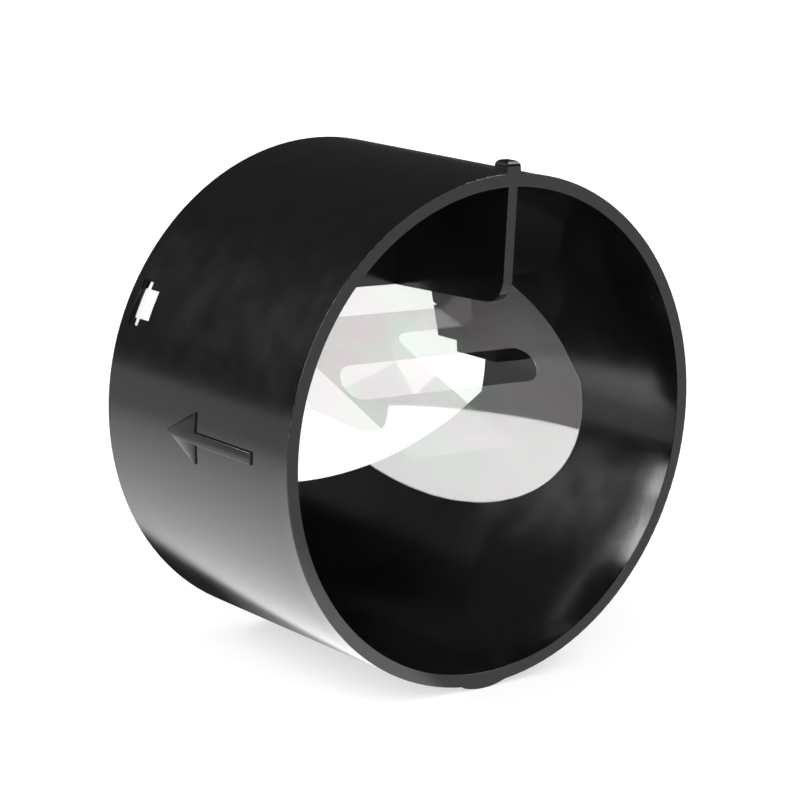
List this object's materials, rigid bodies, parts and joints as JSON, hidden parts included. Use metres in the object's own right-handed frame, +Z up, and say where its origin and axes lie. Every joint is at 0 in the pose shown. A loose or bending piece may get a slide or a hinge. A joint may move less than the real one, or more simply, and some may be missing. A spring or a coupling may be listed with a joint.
{
  "type": "ventilation airflow regulator",
  "caption": "Black moulded tube insert for a round air duct, with a slotted clear film flap hung from a bulkhead inside it and a film spring strip behind the flap.",
  "frame": {"origin": "on the tube's axis, in the plane of the stops' rear faces, where the duct's end comes to rest", "axes": "+Y along the tube's axis towards the rear end that goes into the duct, +Z up through the fin, +X to the right seen from the front rim"},
  "size_m": [0.0992, 0.0608, 0.1022],
  "materials": {
    "black_plastic": "moulded, satin black",
    "clear_film": "clear glossy film, cut flat"
  },
  "bodies": {
    "root": {"tube_body": "black_plastic", "film_flap": "clear_film", "film_spring": "clear_film"}
  },
  "joints": []
}
